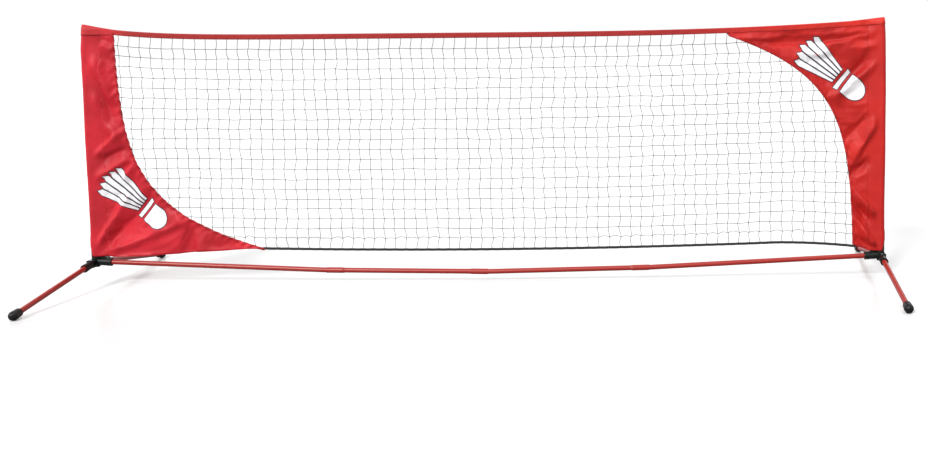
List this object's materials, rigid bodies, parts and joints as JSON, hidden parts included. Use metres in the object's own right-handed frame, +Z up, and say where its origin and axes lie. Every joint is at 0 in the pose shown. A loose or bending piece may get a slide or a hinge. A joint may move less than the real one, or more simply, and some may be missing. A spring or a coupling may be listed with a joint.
{
  "type": "portable badminton net",
  "caption": "Free-standing badminton net: bowed sectional base tube, fold-out feet, telescoping end poles, wavy square mesh between curved fabric side panels.",
  "frame": {"origin": "on the ground under the middle of the net, halfway between the two poles", "axes": "+X along the net to the right seen from the front, -Y the front, +Z up"},
  "size_m": [3.033, 1.073, 0.9916],
  "materials": {
    "fabric_red": "glossy woven nylon",
    "tape_black": "woven webbing",
    "netting": "knotless twine",
    "tube_red": "satin enamel on steel tube",
    "plastic_dark": "moulded nylon",
    "cap_black": "soft moulded vinyl",
    "steel_bright": "zinc plated",
    "collet_white": "acetal"
  },
  "bodies": {
    "frame": {"connector_left": "plastic_dark", "connector_right": "plastic_dark", "base_tube_outer_left": "tube_red", "base_tube_inner_left": "tube_red", "base_tube_inner_right": "tube_red", "base_tube_outer_right": "tube_red", "snap_springs": "steel_bright", "collar_rivets": "steel_bright", "hinge_pins": "steel_bright", "lower_pole_left": "tube_red", "lower_pole_right": "tube_red", "lock_body_left": "plastic_dark", "lock_body_right": "plastic_dark", "lock_collet_left": "collet_white", "lock_collet_right": "collet_white"},
    "leg_front_left": {"leg_knuckle_front_left": "plastic_dark", "leg_tube_front_left": "tube_red", "leg_rivet_front_left": "steel_bright", "foot_cap_front_left": "cap_black"},
    "leg_rear_left": {"leg_knuckle_rear_left": "plastic_dark", "leg_tube_rear_left": "tube_red", "leg_rivet_rear_left": "steel_bright", "foot_cap_rear_left": "cap_black"},
    "leg_front_right": {"leg_knuckle_front_right": "plastic_dark", "leg_tube_front_right": "tube_red", "leg_rivet_front_right": "steel_bright", "foot_cap_front_right": "cap_black"},
    "leg_rear_right": {"leg_knuckle_rear_right": "plastic_dark", "leg_tube_rear_right": "tube_red", "leg_rivet_rear_right": "steel_bright", "foot_cap_rear_right": "cap_black"},
    "net_and_left_pole": {"upper_pole_left": "tube_red", "guide_bush_left": "cap_black", "pole_cap_left": "cap_black", "pole_sleeve_left": "fabric_red", "pole_sleeve_right": "fabric_red", "side_panel_left": "fabric_red", "side_panel_right": "fabric_red", "top_tape": "fabric_red", "bottom_tape": "tape_black", "net_mesh": "netting"},
    "right_pole": {"upper_pole_right": "tube_red", "guide_bush_right": "cap_black", "pole_cap_right": "cap_black"},
    "nut_left": {"lock_nut_left": "plastic_dark"},
    "nut_right": {"lock_nut_right": "plastic_dark"},
    "button_left": {"snap_button_left": "steel_bright"},
    "button_middle": {"snap_button_middle": "steel_bright"},
    "button_right": {"snap_button_right": "steel_bright"}
  },
  "joints": [
    {"name": "fold_front_left", "type": "hinge", "parent": "frame", "child": "leg_front_left", "pos_m": [-1.5, -0.034, 0.088], "axis": [0, 0, 1], "range_deg": [0, 90]},
    {"name": "fold_rear_left", "type": "hinge", "parent": "frame", "child": "leg_rear_left", "pos_m": [-1.5, 0.034, 0.088], "axis": [0, 0, -1], "range_deg": [0, 90]},
    {"name": "fold_front_right", "type": "hinge", "parent": "frame", "child": "leg_front_right", "pos_m": [1.5, -0.034, 0.088], "axis": [0, 0, -1], "range_deg": [0, 90]},
    {"name": "fold_rear_right", "type": "hinge", "parent": "frame", "child": "leg_rear_right", "pos_m": [1.5, 0.034, 0.088], "axis": [0, 0, 1], "range_deg": [0, 90]},
    {"name": "raise_net", "type": "slide", "parent": "frame", "child": "net_and_left_pole", "axis": [0, 0, 1], "range_m": [0, 0.56]},
    {"name": "raise_right_pole", "type": "slide", "parent": "frame", "child": "right_pole", "axis": [0, 0, 1], "range_m": [0, 0.56]},
    {"name": "twist_lock_left", "type": "hinge", "parent": "frame", "child": "nut_left", "pos_m": [-1.5, 0, 0.896], "axis": [0, 0, 1], "range_deg": [0, 90]},
    {"name": "twist_lock_right", "type": "hinge", "parent": "frame", "child": "nut_right", "pos_m": [1.5, 0, 0.896], "axis": [0, 0, 1], "range_deg": [0, 90]},
    {"name": "press_button_left", "type": "slide", "parent": "frame", "child": "button_left", "axis": [0, -1, 0], "range_m": [0, 0.004], "stiffness_N_per_m": 1500, "springref_m": -0.002},
    {"name": "press_button_middle", "type": "slide", "parent": "frame", "child": "button_middle", "axis": [0, -1, 0], "range_m": [0, 0.004], "stiffness_N_per_m": 1500, "springref_m": -0.002},
    {"name": "press_button_right", "type": "slide", "parent": "frame", "child": "button_right", "axis": [0, -1, 0], "range_m": [0, 0.004], "stiffness_N_per_m": 1500, "springref_m": -0.002}
  ],
  "couplings": [
    {"joint": "raise_right_pole", "follows": "raise_net", "ratio": 1}
  ]
}
